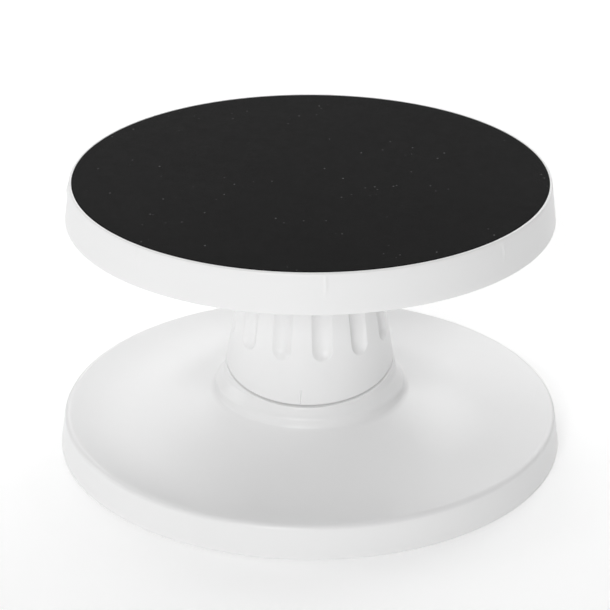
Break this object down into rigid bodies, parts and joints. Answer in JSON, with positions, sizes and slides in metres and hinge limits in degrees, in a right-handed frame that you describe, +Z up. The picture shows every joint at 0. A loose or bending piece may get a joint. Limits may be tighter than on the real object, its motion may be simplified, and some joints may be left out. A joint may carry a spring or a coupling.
{
  "type": "cake turntable",
  "caption": "Round cake turntable that spins on a ball bearing and leans when its fluted neck is twisted on a slanted seam above a wide dished base.",
  "frame": {"origin": "middle of the base on the surface that the turntable stands on", "axes": "+Z up along the neck and the plate's spin axis; -Y is the side where the slanted seam is lowest and the index mark is; +X to the right of that side"},
  "size_m": [0.23, 0.23, 0.1286],
  "materials": {
    "shell_white": "satin moulded",
    "foot_rubber": "matt",
    "friction_plastic": "smooth matt",
    "bush_plastic": "smooth",
    "bolt_steel": "zinc plated",
    "spring_steel": "dark sprung steel",
    "disc_plastic": "moulded",
    "race_steel": "ground",
    "ball_steel": "polished",
    "cage_plastic": "moulded",
    "mat_black": "matt foamed rubber, fine grain"
  },
  "bodies": {
    "base": {"base_shell": "shell_white", "rubber_feet": "foot_rubber", "friction_washer": "friction_plastic", "swivel_bush": "bush_plastic"},
    "neck": {"neck_shell": "shell_white", "swivel_disc": "disc_plastic", "stop_pin": "bolt_steel", "swivel_screws": "bolt_steel", "swivel_bolt": "bolt_steel", "swivel_washer": "bolt_steel", "disc_springs": "spring_steel", "lock_nut": "bolt_steel", "spindle": "bolt_steel", "lower_race": "race_steel", "spindle_washer": "bolt_steel", "spindle_nut": "bolt_steel"},
    "bearing": {"ball_cage": "cage_plastic", "bearing_balls": "ball_steel"},
    "plate": {"turntable_plate": "shell_white", "upper_race": "race_steel", "hub_bush": "bush_plastic", "non_slip_mat": "mat_black"}
  },
  "joints": [
    {"name": "neck_twist", "type": "hinge", "parent": "base", "child": "neck", "pos_m": [0, -0.00109, 0.04051], "axis": [0, -0.1736, 0.9848], "range_deg": [0, 180]},
    {"name": "plate_spin", "type": "hinge", "parent": "neck", "child": "plate", "pos_m": [0, 0, 0.12], "axis": [0, 0, 1], "continuous": true},
    {"name": "bearing_spin", "type": "hinge", "parent": "neck", "child": "bearing", "pos_m": [0, 0, 0.116], "axis": [0, 0, 1], "continuous": true}
  ],
  "couplings": [
    {"joint": "bearing_spin", "follows": "plate_spin", "ratio": 0.5}
  ]
}
